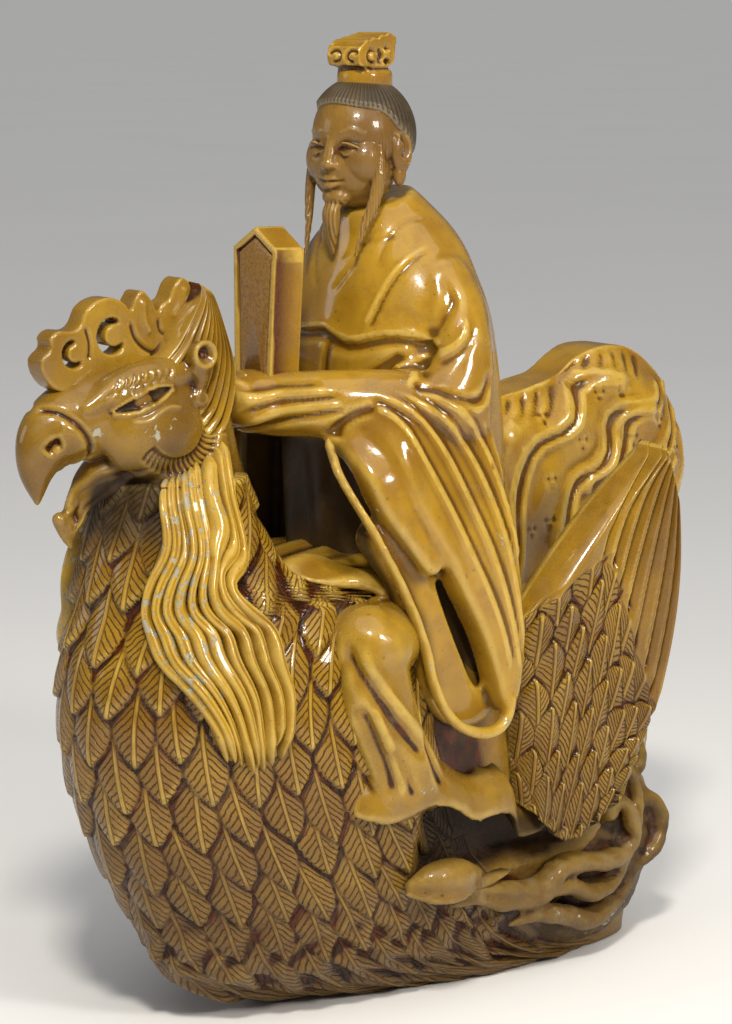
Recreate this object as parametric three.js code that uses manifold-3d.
// Roof ridge figure: a robed rider with an upright tablet, seated on a phoenix.
// Glazed earthenware, moulded and carved as one hollow body that stands on its flat underside.
// The rider's head is a separate piece: its neck plug drops into a socket in the collar.
// Millimetres, +Z up, the phoenix faces -Y and its left side is +X.
import * as THREE from "three";
import { mergeVertices } from "three/addons/utils/BufferGeometryUtils.js";
import Module from "manifold-3d";

const wasm = await Module();
wasm.setup();

// Driving dimensions, in millimetres.
const FIGURE_HEIGHT = 400; // underside to the top of the crown
const NECK_PLUG_RADIUS = 8.5;
const NECK_PLUG_LENGTH = 14;
const JOINT_CLEARANCE = 0.5; // between the head and the body, all round
const TABLET_WIDTH = 28;
const TABLET_THICKNESS = 15;
const TABLET_HEIGHT = 66; // showing above the sleeves
const TABLET_RIM = 3.2;
const TABLET_RECESS = 1.6;
const COMB_THICKNESS = 10;
const FEATHER_LIFT = 3.6; // the tip of a feather over the skin below it
const WING_THICKNESS = 12;
const TAIL_THICKNESS = 46;

// How often each carved pattern repeats.
// The left side is carved in full and the right side more plainly.
const MANE_LOCKS = [8, 4];
const WING_QUILLS = [6, 4];
const WING_SCALE_ROWS = [5, 3];
const SLEEVE_FOLDS = [6, 3];
const LEG_FOLDS = [2, 0];

// The carving is drawn on a grid of 400 parts of the figure's height.
const GRID_PARTS = 400;
const UNIT = FIGURE_HEIGHT / GRID_PARTS;

// Solids

const vec = (x, y, z) => new THREE.Vector3(x, y, z);

function solid(geometry) {
  const bare = new THREE.BufferGeometry().setAttribute("position", geometry.getAttribute("position"));
  if (geometry.index) bare.setIndex(geometry.index);
  const merged = mergeVertices(bare, 1e-4);
  return new wasm.Manifold(
    new wasm.Mesh({
      numProp: 3,
      vertProperties: merged.attributes.position.array,
      triVerts: new Uint32Array(merged.index.array),
    }),
  );
}

// A form drawn on the carving grid, brought to its real size.
const carved = (geometry) => solid(geometry.scale(UNIT, UNIT, UNIT));

const union = (solids) => solids.reduce((all, one) => all.add(one));

// A closed skin through rings of points, each ring running anticlockwise seen from the last one.
function skin(rings) {
  const around = rings[0].length;
  const middle = (ring) => ring.reduce((sum, p) => sum.add(p), vec(0, 0, 0)).divideScalar(around);
  const points = [...rings.flat(), middle(rings[0]), middle(rings.at(-1))];
  const first = rings.length * around;
  const index = [];
  for (let i = 0; i < rings.length - 1; i++)
    for (let j = 0; j < around; j++) {
      const a = i * around + j;
      const b = i * around + ((j + 1) % around);
      index.push(a, b, b + around, a, b + around, a + around);
    }
  for (let j = 0; j < around; j++) {
    const next = (j + 1) % around;
    index.push(first, next, j);
    const top = first - around;
    index.push(first + 1, top + j, top + next);
  }
  const geometry = new THREE.BufferGeometry().setFromPoints(points);
  return geometry.setIndex(index);
}

// A size that is a plain number or changes along a length, from 0 to 1.
const along = (size, t) => (typeof size === "function" ? size(t) : size);
const shrink = (from, to) => (t) => from + (to - from) * t;
const pointed = (size, tip = 0.25) => (t) => size * (tip + (1 - tip) * Math.min(1, 4 * t,
  2.2 * (1 - t)));

// A roll of clay along a line: half as wide as width, standing proud by depth towards out.
function roll(points, width, depth, out, steps = 8, sides = 6) {
  const line = new THREE.CatmullRomCurve3(points);
  const rings = [];
  for (let i = 0; i <= steps; i++) {
    const t = i / steps;
    const centre = line.getPoint(t);
    const tangent = line.getTangent(t);
    const towards = typeof out === "function" ? out(centre, t) : out;
    const normal = towards.clone().addScaledVector(tangent, -towards.dot(tangent)).normalize();
    const across = tangent.clone().cross(normal);
    const ring = [];
    for (let j = 0; j < sides; j++) {
      const angle = (2 * Math.PI * (j + 0.5)) / sides;
      ring.push(
        centre
          .clone()
          .addScaledVector(normal, Math.cos(angle) * along(depth, t))
          .addScaledVector(across, Math.sin(angle) * along(width, t)),
      );
    }
    rings.push(ring);
  }
  return carved(skin(rings));
}

function ball(centre, size, turn = [0, 0, 0], detail = [12, 8]) {
  const shape = new THREE.SphereGeometry(1, detail[0], detail[1]).rotateX(Math.PI / 2).scale(...size);
  shape.rotateX(turn[0]).rotateY(turn[1]).rotateZ(turn[2]);
  return carved(shape.translate(...centre));
}

// A smooth closed outline through a few points.
function outline(points, count = 3 * points.length) {
  const line = new THREE.CatmullRomCurve3(points.map(([y, z]) => vec(y, z, 0)), true);
  return line.getPoints(count).slice(0, -1).map((p) => new THREE.Vector2(p.x, p.y));
}

// A flat form drawn in the side view, as [y, z] points, and as thick as from one x to another.
function slab(shape, left, right) {
  const geometry = new THREE.ExtrudeGeometry(shape, { depth: right - left, bevelEnabled: false,
    curveSegments: 8 });
  const turned = new THREE.Matrix4().makeBasis(vec(0, 1, 0), vec(0, 0, 1), vec(1, 0, 0));
  return carved(geometry.applyMatrix4(turned).translate(left, 0, 0));
}

// A sheet of relief: rows of points on its face, and a plain back whose rim is the face's rim moved by into.
function sheet(rows, into) {
  const wide = rows[0].length;
  const face = rows.flat();
  const index = [];
  for (let i = 0; i < rows.length - 1; i++)
    for (let j = 0; j < wide - 1; j++) {
      const a = i * wide + j;
      index.push(a, a + 1, a + wide + 1, a, a + wide + 1, a + wide);
    }
  const rim = [];
  for (let j = 0; j < wide - 1; j++) rim.push(j);
  for (let i = 0; i < rows.length - 1; i++) rim.push(i * wide + wide - 1);
  for (let j = wide - 1; j > 0; j--) rim.push((rows.length - 1) * wide + j);
  for (let i = rows.length - 1; i > 0; i--) rim.push(i * wide);
  const back = rim.map((k) => face[k].clone().add(typeof into === "function" ? into(face[k]) : into));
  const middle = back.reduce((sum, p) => sum.add(p), vec(0, 0, 0)).divideScalar(back.length);
  const points = [...face, ...back, middle];
  rim.forEach((a, k) => {
    const next = (k + 1) % rim.length;
    const [b, c, d] = [rim[next], face.length + k, face.length + next];
    index.push(b, a, c, b, c, d, d, c, points.length - 1);
  });
  let volume = 0;
  for (let k = 0; k < index.length; k += 3) {
    const [a, b, c] = [points[index[k]], points[index[k + 1]], points[index[k + 2]]];
    volume += a.dot(b.clone().cross(c));
  }
  if (volume < 0) index.reverse();
  return carved(new THREE.BufferGeometry().setFromPoints(points).setIndex(index));
}

// A form made on the left side, taken over to the right.
const across = (left) => left.mirror([1, 0, 0]);
const pair = (left) => left.add(across(left));

// A smooth value read between a few stations, each [place, value].
function between(stations, place) {
  const last = stations.length - 1;
  let i = stations.findIndex(([at]) => at > place) - 1;
  if (i < -1) i = last - 1;
  i = Math.max(0, Math.min(last - 1, i));
  const [[a, from], [b, to]] = [stations[i], stations[i + 1]];
  const slope = (k) => {
    const lower = Math.max(0, k - 1);
    const upper = Math.min(last, k + 1);
    return (stations[upper][1] - stations[lower][1]) / (stations[upper][0] - stations[lower][0]);
  };
  const t = Math.max(0, Math.min(1, (place - a) / (b - a)));
  const run = b - a;
  return (
    (2 * t ** 3 - 3 * t ** 2 + 1) * from +
    (t ** 3 - 2 * t ** 2 + t) * run * slope(i) +
    (3 * t ** 2 - 2 * t ** 3) * to +
    (t ** 3 - t ** 2) * run * slope(i + 1)
  );
}

// Phoenix body

// One skin from the underside up the breast to the throat, as [height, value] stations.
const BREAST_LINE = [[-10, 10], [0, -46], [8, -84], [22, -106], [50, -122], [90, -141], [128, -150],
  [155, -149], [180, -142], [210, -136], [250, -130]];
const RUMP_LINE = [[-10, 131], [20, 135], [60, 138], [90, 132], [130, 112], [160, 84], [172, 50], [180,
  -20], [189, -62], [206, -76], [250, -84]];
const HALF_WIDTH = [[-10, 35], [8, 39], [30, 46], [70, 54], [110, 57], [145, 55], [165, 51], [178, 43],
  [195, 33], [215, 27], [250, 20]];
const WIDEST_SHARE = [[-10, 0.56], [20, 0.54], [60, 0.44], [150, 0.4], [180, 0.48], [250, 0.5]];
const FEATHERED_REACH = [[-10, 110], [20, 150], [100, 158], [128, 128], [150, 74], [172, 54], [190, 48],
  [250, 44]];
const FEATHER_COLUMNS = 16; // feathers in a row across the breast
const PLAIN_COLUMNS = 5; // plain stretches behind them, under the rider, wings and tail
const TIP_HEIGHTS = [204, 180, 156, 132, 108, 84, 60, 36, 14, -8];

// A point of the body at a turn from the breast line (0) round to the rump (half a turn).
function bodyRing(height, turn) {
  const front = between(BREAST_LINE, height);
  const rear = between(RUMP_LINE, height);
  const middle = front + (rear - front) * between(WIDEST_SHARE, height);
  const forward = Math.cos(turn) > 0;
  // low down the breast narrows to a keel
  const keel = 1 + 0.8 * Math.min(1, Math.max(0, 1 - height / 24));
  const squareness = forward ? keel : 0.5; // the rump is boxier than the breast
  const reach = forward ? middle - front : rear - middle;
  const share = (value) => Math.sign(value) * Math.abs(value) ** squareness;
  return vec(between(HALF_WIDTH, height) * share(Math.sin(turn)),
    middle - reach * share(Math.cos(turn)), height);
}

// Half a ring measured along its length, so that feathers can be spaced evenly on it.
const rings = new Map();
function halfRing(height) {
  if (!rings.has(height)) {
    const samples = [];
    const count = 120;
    for (let i = 0, length = 0; i <= count; i++) {
      const point = bodyRing(height, (Math.PI * i) / count);
      if (i) length += point.distanceTo(samples.at(-1).point);
      samples.push({ length, point });
    }
    rings.set(height, samples);
  }
  return rings.get(height);
}

// The skin at a column from the breast line, left (+) or right (-).
function bodyPoint(height, column) {
  const samples = halfRing(height);
  const total = samples.at(-1).length;
  const feathered = FEATHER_COLUMNS / 2;
  const reach = Math.min(between(FEATHERED_REACH, height), 0.9 * total);
  const share = Math.abs(column);
  const beyond = (share - feathered) / (PLAIN_COLUMNS / 2);
  const length = share < feathered ? (share / feathered) * reach : reach + beyond * (total - reach);
  const above = samples.findIndex((sample) => sample.length > length);
  const i = above < 0 ? samples.length - 2 : Math.max(0, above - 1);
  const [low, high] = [samples[i], samples[i + 1]];
  const point = low.point.clone().lerp(high.point, (length - low.length) / (high.length - low.length));
  return point.multiply(vec(column < 0 ? -1 : 1, 1, 1));
}

function bodyNormal(height, column) {
  const across = bodyPoint(height, column + 0.2).sub(bodyPoint(height, column - 0.2));
  const upward = bodyPoint(height + 2, column).sub(bodyPoint(height - 2, column));
  return across.cross(upward).normalize();
}

const lifted = (height, column, lift) =>
  bodyPoint(height, column).addScaledVector(bodyNormal(height, column), lift);

// The breast as one carved skin of feathers lapped like tiles. Each shows a leaf with a raised midrib:
// its tip and lower edges stand off the row below, and its upper edges lie under the row above.
function featheredBody() {
  const columns = FEATHER_COLUMNS + PLAIN_COLUMNS;
  const corners = [];
  const face = (...points) => corners.push(...points.map((p) => p.clone()));
  const standing = (column) => (Math.abs(column) < FEATHER_COLUMNS / 2 - 0.4 ? FEATHER_LIFT / UNIT : 0);
  const wrap = (column) => {
    const within = column > columns / 2 ? column - columns : column;
    return within <= -columns / 2 ? within + columns : within;
  };
  const spacing = TIP_HEIGHTS[0] - TIP_HEIGHTS[1];
  const crown = TIP_HEIGHTS[0] + spacing;
  const row = (r, column) => {
    const here = wrap(column);
    const tip = r < 0 ? crown : TIP_HEIGHTS[r];
    const rise = r < 0 ? 0 : spacing;
    const lift = r < 0 ? 0 : standing(here);
    return {
      tip: lifted(tip, here, lift),
      underTip: lifted(tip, here, 0),
      rib: lifted(tip + 0.7 * rise, here, 1.05 * lift),
      notch: lifted(tip + 0.55 * rise, wrap(column + 0.5), 0),
    };
  };
  TIP_HEIGHTS.forEach((_, r) => {
    for (let c = 0; c < columns; c++) {
      const column = c + (r % 2) / 2;
      const own = row(r, column);
      const before = row(r, column - 1);
      const upper = row(r - 1, column - 0.5);
      const next = row(r - 1, column + 0.5);
      const rim = [upper.notch, upper.underTip, before.notch, own.tip, own.notch, next.underTip];
      rim.forEach((p, i) => face(own.rib, p, rim[(i + 1) % rim.length]));
      face(own.notch, own.tip, own.underTip);
      face(before.notch, own.underTip, own.tip);
    }
  });
  const close = (r, centre, upward) => {
    for (let c = 0; c < columns; c++) {
      const column = c + (((r % 2) + 2) % 2) / 2;
      const rim = [row(r, column - 1).notch, row(r, column).underTip, row(r, column).notch];
      for (let i = 0; i < rim.length - 1; i++)
        upward ? face(centre, rim[i], rim[i + 1]) : face(centre, rim[i + 1], rim[i]);
    }
  };
  close(-1, vec(0, bodyPoint(crown, 0).y / 2 + bodyPoint(crown, columns / 2).y / 2, crown), true);
  close(TIP_HEIGHTS.length - 1, vec(0, 40, TIP_HEIGHTS.at(-1)), false);
  const geometry = new THREE.BufferGeometry().setFromPoints(corners);
  return carved(mergeVertices(geometry, 1e-3));
}

function throat() {
  const levels = [206, 226, 246];
  const around = 12;
  const ring = (height) =>
    Array.from({ length: around }, (_, j) => {
      const point = bodyRing(height, (2 * Math.PI * j) / around);
      return vec(0.93 * point.x, -108 + 0.93 * (point.y + 108), height);
    });
  return carved(skin(levels.map(ring)));
}

// Phoenix head, comb, crest and mane

function phoenixHead() {
  const up = vec(0, 0.3, 1);
  const skull = roll(
    [vec(0, -86, 256), vec(0, -112, 259), vec(0, -137, 254), vec(0, -154, 247), vec(0, -163, 238),
      vec(0, -165, 222)],
    (t) => between([[0, 12], [0.25, 22], [0.5, 20], [0.72, 13.5], [0.88, 8.5], [1, 1.5]], t),
    (t) => between([[0, 10], [0.25, 20], [0.5, 19], [0.72, 14], [0.88, 8.5], [1, 1.5]], t),
    up, 7, 8,
  );
  const lowerBill = roll(
    [vec(0, -124, 240), vec(0, -142, 228), vec(0, -151, 214), vec(0, -150, 204)],
    shrink(13, 2), shrink(12, 2.2), up, 3, 6,
  );
  const left = [
    ball([18, -103, 277], [6, 6.5, 6.5], [0, 0, 0], [6, 4]),
    ball([19.5, -131, 261.5], [3, 9, 3.4], [-0.42, 0, 0], [6, 4]),
    roll([vec(14, -152, 259), vec(19, -138, 268), vec(20, -122, 273), vec(18, -108, 275)], 3.4, 3.2,
      vec(1, 0, 0.6), 4, 4),
    roll([vec(4, -163, 261), vec(11, -158, 251), vec(12, -148, 239)], 1.6, 1.6, vec(1, -1, 1), 3, 4),
        cheek(),
  ];
  return union([skull, lowerBill, pair(union(left))]);
}

// The cheek is a disc of short radiating locks.
function cheek() {
  const locks = 6;
  const rows = [[0, 5.5, 3], [13, 3.5, 0.5], [25, -3, -4]].map(([radius, crest, groove]) =>
    Array.from({ length: 2 * locks + 1 }, (_, j) => {
      const share = j / (2 * locks);
      const angle = -0.75 * Math.PI + 1.5 * Math.PI * share;
      const reach = Math.max(0.5, radius - (j % 2 ? 0 : 0.12 * radius));
      const proud = j % 2 ? crest : groove;
      return vec(19 + proud - 0.25 * Math.max(0, reach - 8), -113 + reach * Math.cos(angle) * 0.9,
        249 + reach * Math.sin(angle) * 0.85);
    }),
  );
  return sheet(rows, (p) => vec(-9 - 0.2 * p.x, 0, 0));
}

// The comb is a pierced flat plate: two curls, a spike and a flame.
function comb() {
  const plate = new THREE.Shape(outline([
    [-155, 258], [-163, 268], [-166, 277], [-161, 282], [-158, 287], [-149, 288], [-146, 292], [-140,
      299], [-131, 300],
    [-123, 295], [-121, 290], [-118, 302], [-112, 296], [-107, 294], [-101, 303], [-96, 306], [-93,
      300], [-99, 288],
    [-105, 274], [-123, 268], [-139, 262],
  ], 42));
  const corners = 7;
  const hole = (y, z, size) =>
    new THREE.Path(
      Array.from({ length: corners }, (_, i) => {
        const angle = (2 * Math.PI * i) / corners;
        return new THREE.Vector2(y + size * Math.cos(angle), z + 1.2 * size * Math.sin(angle));
      }),
    );
  plate.holes = [hole(-152, 280, 2.4), hole(-134, 287, 3)];
  const half = COMB_THICKNESS / UNIT / 2;
  return slab(plate, -half, half);
}

// The crest is a fan of long locks that sweeps up behind the comb and down behind the cheek.
function crest() {
  const locks = 6;
  const fan = (column, share, proud) => {
    const from = vec(15 + proud, -112 + 9 * share, 279 - 30 * share);
    const to = vec(13 + proud, -91 + 10 * Math.sin(2.2 * share),
      305 - 68 * share + (column % 2 ? 0 : -2.5));
    const bend = vec(3, -3 + 3 * share, 3);
    return [0, 0.35, 0.7, 1].map((t) => from.clone().lerp(to, t).addScaledVector(bend,
      Math.sin(Math.PI * t)));
  };
  const columns = Array.from({ length: 2 * locks + 1 }, (_, j) => fan(j, j / (2 * locks),
    j % 2 ? 3 : 0));
  return pair(sheet(columns, (p) => vec(-p.x - 0.5, 0, 0)));
}

// The mane: locks lying side by side on the neck, waving as they fall to a ragged hem.
function mane(locks, levels) {
  const rows = [];
  for (let i = 0; i <= levels; i++) {
    const t = i / levels;
    const front = between([[0, 1.0], [0.33, 0.72], [0.66, 0.74], [1, 0.86]], t);
    const back = between([[0, 2.5], [0.33, 1.9], [0.66, 1.36], [1, 1.24]], t);
    const row = [];
    for (let j = 0; j <= 2 * locks; j++) {
      const share = j / (2 * locks);
      const crested = j % 2 === 1;
      const hem = 119 - 9 * Math.sin(Math.PI * share) + (crested ? -3 : 6);
      const height = between([[0, 240], [0.5, 180], [1, hem]], t);
      const wave = 0.06 * Math.sin(2 * Math.PI * (1.15 * t + 0.12 * share)) * Math.min(1, 3 * t);
      const base = bodyRing(height, front + (back - front) * share + wave);
      const proud = 1.2 + 3.4 * t * t + (crested ? 4.6 - 1.6 * t : 0);
      row.push(base.addScaledVector(vec(base.x, base.y + 92, 0).normalize(), proud));
    }
    rows.push(row);
  }
  return sheet(rows, (p) => vec(-p.x, -p.y - 92, 0).normalize().multiplyScalar(9));
}

const nape = () =>
  roll([vec(0, -88, 250), vec(0, -82, 228), vec(0, -72, 200), vec(0, -66, 176)], 14, 9, vec(0, 1, 0.3),
    3, 6);

// Wings and tail

const wingOutwards = (height) => 52 + 0.11 * (height - 80); // the wings lean outwards as they rise

// The wing is one relief: rows of scales at its root, then long quills that fan back to its tip.
function wing(quills, scaleRows) {
  const columns = 2 * quills;
  const outer = WING_THICKNESS / UNIT;
  const rootLine = [[28, 74], [56, 60], [88, 78]]; // leading edge, middle, trailing edge
  const seamLine = [[34, 164], [66, 150], [106, 122]];
  const tipLine = [[92, 231], [106, 206], [110, 128]];
  const onLine = (line, share) => {
    const y = between([[0, line[0][0]], [0.5, line[1][0]], [1, line[2][0]]], share);
    const height = between([[0, line[0][1]], [0.5, line[1][1]], [1, line[2][1]]], share);
    return [y, height];
  };
  const place = (share, from, to, t, proud) => {
    const [a, b] = [onLine(from, share), onLine(to, share)];
    const y = a[0] + (b[0] - a[0]) * t;
    const height = a[1] + (b[1] - a[1]) * t;
    return vec(wingOutwards(height) + outer + proud, y, height);
  };
  const rows = [];
  for (let i = 0; i < scaleRows; i++)
    for (const [proud, shift] of [[0, 0.04], [3.2, 0.96]])
      rows.push(
        Array.from({ length: columns + 1 }, (_, j) => {
          const tip = (j + i + (shift > 0.5 ? 1 : 0)) % 2 === 0;
          const lift = tip ? 1 : 0.25;
          const t = Math.max(0, (i + shift + (i + shift > 0.1 ? (tip ? 0.28 : -0.28) : 0)) / scaleRows);
          return place(j / columns, rootLine, seamLine, t, proud * lift);
        }),
      );
  for (let i = 0; i <= 4; i++)
    rows.push(
      Array.from({ length: columns + 1 }, (_, j) => {
        const crested = j % 2 === 1;
        const t = i / 4 + (i === 0 ? 0.08 : 0) + (i === 4 && !crested ? -0.03 : 0);
        return place(j / columns, seamLine, tipLine, t, crested ? 3.4 : 0.2);
      }),
    );
  const into = (p) => vec(-outer - 2 - 26 * Math.max(0, (150 - p.z) / 150), 0, 0);
  const lean = (y, height) => vec(wingOutwards(height) + outer, y, height);
  const line = [lean(29, 110), lean(33, 152), lean(43, 170), lean(64, 193), lean(84, 216), lean(92,
    229)];
  return sheet(rows, into).add(roll(line, 4, 4.5, vec(1, 0, 0), 6, 4));
}

function tail() {
  const edge = outline([
    [36, 60], [42, 150], [46, 214], [58, 232], [78, 237], [98, 241], [110, 252], [123, 262], [142, 260],
      [158, 246],
    [172, 220], [176, 204], [171, 188], [169, 170], [168, 140], [162, 122], [155, 108], [157, 92], [150,
      60], [120, 20], [60, 20],
  ], 38);
  const half = TAIL_THICKNESS / UNIT / 2;
  const plate = slab(new THREE.Shape(edge), -half + 5, half - 5);
  const arches = [
    [[50, 120], [52, 180], [62, 220], [86, 236], [110, 248], [134, 255], [156, 240], [168, 206], [164,
      160]],
    [[64, 122], [64, 176], [75, 204], [95, 221], [114, 236], [134, 243], [150, 226], [158, 192], [154,
      150]],
    [[78, 122], [80, 166], [90, 192], [104, 210], [120, 226], [136, 230], [145, 208], [149, 178], [149,
      136]],
    [[92, 118], [96, 150], [104, 174], [116, 190], [128, 205], [136, 206], [140, 186], [141, 160], [143,
      120]],
    [[104, 108], [110, 136], [118, 154], [125, 168], [131, 181], [134, 181], [136, 164], [136, 138],
      [138, 106]],
  ];
  const plumes = (step) => {
    const lines = [];
    for (let k = 0; k < arches.length; k += step) {
      const next = arches[Math.min(k + step, arches.length - 1)];
      const at = (share, x) => arches[k].map(([y, z], i) => vec(x, y + (next[i][0] - y) * share,
        z + (next[i][1] - z) * share));
      lines.push(at(0, half - 4.6));
      if (k < arches.length - 1) lines.push(at(0.45, half));
    }
    return sheet(lines, vec(-6, 0, 0));
  };
  return union([plate, plumes(1), across(plumes(2))]);
}

// Rider

// The robe over the rider's trunk, grown all round by a clearance where the head piece is cut to it.
function trunk(grow = 0) {
  const stations = [
    [140, 14, 54, 46], [180, 14, 54, 46], [215, 11, 53, 43], [250, 8, 54, 40], [275, 7, 53, 37], [293,
      7, 50, 33],
    [305, 7, 44.5, 30], [313, 7, 38.5, 27.5], [320, 6, 31.5, 24.5], [327, 3, 24, 20.5], [333, 0, 17.5,
      16.5],
  ];
  const around = 16;
  const rings = stations.map(([height, y, wide, deep]) =>
    Array.from({ length: around }, (_, j) => {
      const turn = (2 * Math.PI * j) / around;
      // the collar is cut lower in front than behind
      const slope = height > 300 ? 0.16 * (height - 300) : 0;
      return vec((wide + grow) * Math.cos(turn), y + (deep + grow) * Math.sin(turn),
        height + grow * 0.7 + slope * Math.sin(turn));
    }),
  );
  return carved(skin(rings));
}

const trunkFront = (x, height) => {
  const wide = between([[180, 54], [250, 54], [293, 50], [313, 38.5], [333, 17.5]], height);
  const deep = between([[180, 46], [215, 43], [250, 40], [275, 37], [293, 33], [313, 27.5], [333,
    16.5]], height);
  const middle = between([[180, 14], [215, 11], [250, 8], [293, 7], [313, 7], [333, 0]], height);
  return middle - deep * Math.sqrt(Math.max(0, 1 - (x / wide) ** 2));
};

function robeFront() {
  const on = (x, height, proud = 0.6) => vec(x, trunkFront(x, height) - proud, height);
  const forward = vec(0, -1, 0);
  const lapel = roll([on(13, 324), on(17, 304), on(14, 284)], 2.4, 1.8, forward, 3, 4);
  const sash = [];
  for (let i = 0; i <= 8; i++) {
    const x = -44 + 11 * i;
    sash.push(on(x, 280 + 3 * Math.sin(0.16 * x), 1.2));
  }
  return pair(lapel).add(roll(sash, 2.6, 3.2, forward, 7, 4));
}

function arm() {
  const upper = roll([vec(38, 6, 300), vec(47, 6, 280), vec(52, 4, 258), vec(52, -6, 247)], shrink(15,
    18), shrink(13, 16), vec(1, 0, 0.2), 4, 8);
  const fore = roll([vec(52, 4, 250), vec(45, -26, 254), vec(26, -50, 254), vec(8, -62, 252)],
    shrink(19, 13), shrink(17, 13), vec(1, -0.5, 0.6), 4, 8);
  return upper.add(fore);
}

// The hands are hidden in the sleeve ends, which meet under the tablet in a fan of folds.
function cuffs() {
  const folds = 2;
  const left = [];
  for (let k = 0; k < folds; k++) {
    const share = k / (folds - 1);
    const from = vec(9 + 10 * share, -71 + 12 * share, 264 - 3 * share);
    const to = vec(3 + 20 * share, -78 + 12 * share, 241 - 2 * share);
    const middle = from.clone().lerp(to, 0.5).add(vec(1, -5, 2));
    left.push(roll([from, middle, to], pointed(3.6, 0.5), 4, vec(0.4, -1, 0.2), 2, 4));
  }
  const tongue = roll([vec(-14, -74, 242), vec(-16, -70, 226), vec(-12, -64, 214)], shrink(9, 2),
    shrink(6, 2), vec(0, -1, 0), 2, 5);
  return union([ball([0, -62, 253], [24, 16, 13], [0.15, 0, 0], [10, 6]), pair(union(left)), tongue]);
}

// The wide sleeve hangs from the forearm in folds that sweep down and back to a looped hem.
function sleeve(folds) {
  const rows = [0, 0.25, 0.5, 0.75, 1].map((t) =>
    Array.from({ length: 2 * folds + 1 }, (_, j) => {
      const share = j / (2 * folds);
      const wrist = [-54 + 60 * share, 254 + 8 * share];
      const waist = [-50 + 66 * share, 214 - 8 * share];
      const hem = [-30 + 51 * share, between([[0, 174], [0.3, 166], [0.45, 128], [0.75, 114], [1, 132]],
        share)];
      const y = between([[0, wrist[0]], [0.5, waist[0]], [1, hem[0]]], t);
      const height = between([[0, wrist[1]], [0.5, waist[1]], [1, hem[1]]], t);
      return vec(60 + 7 * Math.sin(0.75 * Math.PI * t) + (j % 2 ? 7 : 0.5), y, height);
    }),
  );
  const out = vec(1, -0.15, 0);
  return union([
    sheet(rows, (p) => vec(42 - p.x, 0, 0)),
    roll([vec(50, -56, 250), vec(60, -55, 222), vec(66, -48, 194), vec(68, -34, 178), vec(67, -24,
      173)], 4, 6, out, 4, 4),
    roll([vec(65, -22.5, 170), vec(68, -20, 148), vec(69, -12, 122), vec(69, 0, 112), vec(69, 12, 118),
      vec(68, 18, 136)], 4, 6, out, 6, 4),
  ]);
}

function leg(folds) {
  const out = vec(1, 0, 0);
  const thigh = roll([vec(24, 4, 166), vec(44, -20, 170), vec(57, -46, 160)], 22, 16, vec(0, 0, 1), 3,
    8);
  const shin = roll([vec(59, -46, 166), vec(60, -42, 134), vec(62, -36, 108), vec(63, -32, 84)],
    (t) => 18 + 5 * t, (t) => 16 - 3 * t, out, 3, 8);
  const knee = ball([57, -46, 160], [18, 21, 18], [0, 0, 0], [8, 5]);
  const parts = [thigh, shin, knee];
  for (const [top, bottom] of [[[-60, 158], [-40, 88]], [[-52, 166], [-22, 110]]].slice(0, folds))
    parts.push(roll([vec(74, ...top), vec(76, (top[0] + bottom[0]) / 2 - 3, (top[1] + bottom[1]) / 2),
      vec(75, ...bottom)], pointed(2.8), 2.4, out, 2, 4));
  parts.push(
    roll([vec(60, -58, 88), vec(68, -38, 83), vec(66, -12, 86), vec(58, 20, 76), vec(55, 42, 76)], 5, 8,
      vec(0, 0, 1), 5, 4),
    ball([62, -12, 60], [12, 19, 9], [0, 0, 0], [7, 4]),
  );
  return union(parts);
}

// The skirt of the robe lies over the phoenix's back and comes to a point on each side of the neck.
function skirt() {
  const left = union([
    roll([vec(0, -62, 181), vec(24, -66, 178), vec(42, -58, 172), vec(50, -36, 172)], pointed(7, 0.4),
      3, vec(0, -0.2, 1), 5, 5),
    ball([44, 12, 122], [14, 40, 46], [0, 0, 0], [8, 5]),
  ]);
  return pair(left).add(ball([0, -14, 170], [50, 50, 16], [0.08, 0, 0], [10, 5]));
}

// The tablet stands upright between the hands: a slab with a gabled top and a raised rim on its faces.
function tablet() {
  const foot = vec(0, -56, 258).multiplyScalar(UNIT);
  const half = TABLET_WIDTH / 2;
  const taper = 0.8; // the foot is narrower than the shoulders
  const gable = half * 0.62;
  const sunk = 12;
  const shape = (inset, bottom) => {
    const slope = inset * 1.15;
    return new THREE.Shape([
      new THREE.Vector2(-half * taper + inset, bottom),
      new THREE.Vector2(half * taper - inset, bottom),
      new THREE.Vector2(half - inset, TABLET_HEIGHT - gable - inset * 0.5),
      new THREE.Vector2(0, TABLET_HEIGHT - slope),
      new THREE.Vector2(-half + inset, TABLET_HEIGHT - gable - inset * 0.5),
    ]);
  };
  const board = (outlineShape, from, to) => {
    const geometry = new THREE.ExtrudeGeometry(outlineShape, { depth: to - from, bevelEnabled: false });
    geometry.rotateX(Math.PI / 2).translate(0, -from, 0).rotateX(-0.03);
    return solid(geometry.translate(...foot));
  };
  const front = TABLET_THICKNESS / 2;
  return board(shape(0, -sunk), -front, front)
    .subtract(board(shape(TABLET_RIM, 0), front - TABLET_RECESS, front + 1))
    .subtract(board(shape(TABLET_RIM, 0), -front - 1, TABLET_RECESS - front));
}

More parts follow.
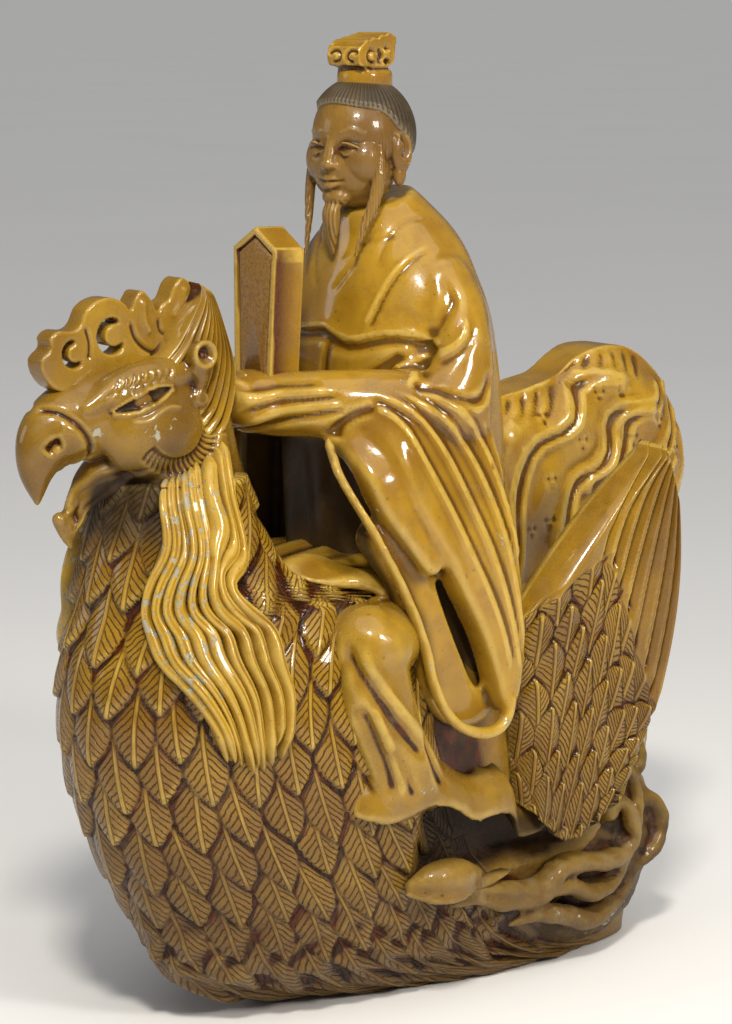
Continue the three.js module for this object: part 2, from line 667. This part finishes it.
// Clouds: bands that run along the side of the base and curl up behind the wing.
function clouds(curls) {
  const out = vec(1, 0, 0.2);
  const curl = (y, height, size, start, depth) => {
    const points = [];
    const count = 8;
    for (let i = 0; i <= count; i++) {
      const t = i / count;
      const angle = start + 2.2 * Math.PI * t;
      const radius = size * (1 - 0.72 * t);
      points.push(vec(depth, y + radius * Math.cos(angle), height + radius * Math.sin(angle)));
    }
    return roll(points, shrink(0.42 * size, 0.25 * size), 6, out, 7, 4);
  };
  const band = (line, width) => roll(line.map(([y, z, depth]) => vec(depth, y, z)), pointed(width, 0.5),
    6, out, 6, 4);
  return union([
    ...curls.map((each) => curl(...each)),
    band([[128, 84, 40], [120, 60, 44], [112, 42, 47], [88, 34, 52], [66, 38, 55], [46, 34, 57], [24,
      42, 59], [0, 40, 59]], 6.5),
    band([[122, 34, 42], [96, 20, 48], [70, 25, 51], [44, 20, 53], [14, 26, 54], [-14, 22, 52]], 5.5),
    ball([34, 104, 56], [19, 36, 52], [0, 0, 0], [8, 5]),
  ]);
}

// Rider's head

function riderHead() {
  const centre = vec(0, -7.5, 354);
  const at = (x, y, z) => [x, centre.y + y, centre.z + z];
  const point = (x, y, z) => vec(...at(x, y, z));
  const forward = vec(0, -1, 0);
  const middle = [
    ball(at(0, 1, 4), [20, 21.5, 23.5], [0, 0, 0], [14, 8]),
    ball(at(0, -4, -9), [15.5, 16.5, 15], [0, 0, 0], [10, 6]),
    roll([point(0, 3, -12), point(0, 4, -30)], 10.5, 10.5, forward, 1, 8),
    roll([point(0, -20, 3), point(0, -23.5, -7.5)], shrink(2, 4), shrink(1.5, 3), forward, 2, 4),
    ball(at(0, -19.5, -12.5), [5.5, 2.6, 2], [0, 0, 0], [6, 4]),
    roll([point(0, -14, -16), point(0, -18.5, -23), point(0, -19.5, -34), point(-1, -18, -48)],
      pointed(3.4, 0.4), 3, forward, 4, 5),
    hairCap(centre),
    crown(centre),
  ];
  const left = [
    roll([point(3, -20.5, 4.5), point(9, -19.5, 6.5), point(15, -14.5, 4)], pointed(1.6), 1.6, forward,
      2, 4),
    ball(at(8, -17.6, 0.5), [4.8, 2.8, 2.1], [0, 0, 0.3], [6, 4]),
    ball(at(20, 3, -2), [3, 5.5, 11.5], [0.08, 0, 0], [7, 5]),
    roll([point(15, -5, 0), point(17, -8, -10), point(16.5, -11, -22), point(14, -15, -33), point(12.5,
      -20, -42)], pointed(3, 0.45), 2.4, vec(1, -0.6, 0), 4, 4),
  ];
  return union([...middle, pair(union(left))]);
}

function hairCap(centre) {
  const cap = ball([0, centre.y + 3.5, centre.z + 6.5], [21.6, 21.8, 22.4], [0, 0, 0], [14, 8]);
  const faceSide = new THREE.CylinderGeometry(17.5, 17.5, 40, 10).scale(1, 1, 1.25);
  const opening = carved(faceSide.translate(0, centre.y - 26, centre.z - 2.5));
  const below = new THREE.BoxGeometry(60, 60, 40).translate(0, centre.y - 8, centre.z - 27);
  return cap.subtract(opening).subtract(carved(below));
}

// The crown is a small openwork cap over the topknot: a band, then a block cut into curls.
function crown(centre) {
  const y = centre.y + 3;
  const base = centre.z + 26.5;
  const band = roll([vec(0, y, base - 4), vec(0, y, base + 5)], 11, 10, vec(0, -1, 0), 1, 12);
  const cap = new THREE.Shape(outline([[-11, 5], [-12.5, 10], [-9, 15], [-1, 18], [7, 19.5], [9.5, 15],
    [8, 9], [2, 6], [-5, 4]], 18));
  const top = slab(cap, -8, 8).translate([0, y * UNIT, base * UNIT]);
  const curls = [0, 1, 2].map((k) =>
    roll([vec(8, y - 9 + 6.5 * k, base + 7), vec(8.5, y - 7 + 6.5 * k, base + 15.5)], 2.5, 2, vec(1, 0,
      0), 1, 4),
  );
  return union([band, top, pair(union(curls))]);
}

// Assembly

const glaze = new THREE.MeshStandardMaterial({ color: 0xb98a2c, roughness: 0.22, metalness: 0 });
const clay = new THREE.MeshStandardMaterial({ color: 0x7d5a2c, roughness: 0.4, metalness: 0 });

function mesh(name, manifold, material) {
  const { numProp, vertProperties, triVerts } = manifold.getMesh();
  const positions = new Float32Array((vertProperties.length / numProp) * 3);
  for (let i = 0; i < positions.length / 3; i++)
    positions.set(vertProperties.subarray(i * numProp, i * numProp + 3), 3 * i);
  const geometry = new THREE.BufferGeometry().setAttribute("position",
    new THREE.BufferAttribute(positions, 3));
  geometry.setIndex(new THREE.BufferAttribute(new Uint32Array(triVerts), 1));
  geometry.computeVertexNormals();
  const made = new THREE.Mesh(geometry, material);
  made.name = name;
  return made;
}

// A round hole or plug on the neck's axis, from one height to another in millimetres.
function neckPin(radius, from, to) {
  const pin = new THREE.CylinderGeometry(radius, radius, to - from, 20).rotateX(Math.PI / 2);
  return solid(pin.translate(0, -2 * UNIT, (from + to) / 2));
}

// Where forms meet, small hollows can be shut in between them: they are filled.
const withoutHollows = (manifold) => union(manifold.decompose().filter((shell) => shell.volume() > 0));

const collarHeight = 333 * UNIT; // the rim of the collar
const socketFloor = collarHeight - NECK_PLUG_LENGTH;
const underground = solid(new THREE.BoxGeometry(2 * FIGURE_HEIGHT, 2 * FIGURE_HEIGHT, 200).translate(0,
  0, -100));

const curls = [[110, 80, 16, -0.6, 48], [92, 52, 13, 2.4, 53]];
const bird = [
  featheredBody(), throat(), phoenixHead(), comb(), crest(), nape(), tail(),
  mane(MANE_LOCKS[0], 7), across(mane(MANE_LOCKS[1], 5)),
  wing(WING_QUILLS[0], WING_SCALE_ROWS[0]), across(wing(WING_QUILLS[1], WING_SCALE_ROWS[1])),
  clouds(curls), across(clouds([])),
];
const rider = [
  trunk(), robeFront(), cuffs(), skirt(), tablet(), pair(arm()),
  sleeve(SLEEVE_FOLDS[0]), across(sleeve(SLEEVE_FOLDS[1])),
  leg(LEG_FOLDS[0]), across(leg(LEG_FOLDS[1])),
];
const wholeBody = withoutHollows(union([...bird, ...rider]).subtract(underground))
  .subtract(neckPin(NECK_PLUG_RADIUS + JOINT_CLEARANCE, socketFloor, FIGURE_HEIGHT));

const head = withoutHollows(riderHead())
  .subtract(trunk(JOINT_CLEARANCE / UNIT))
  .add(neckPin(NECK_PLUG_RADIUS, socketFloor + JOINT_CLEARANCE, collarHeight + 10 * UNIT));

const figure = new THREE.Group();
figure.add(mesh("glazed_figure", wholeBody, glaze), mesh("rider_head", head, clay));
export default figure;
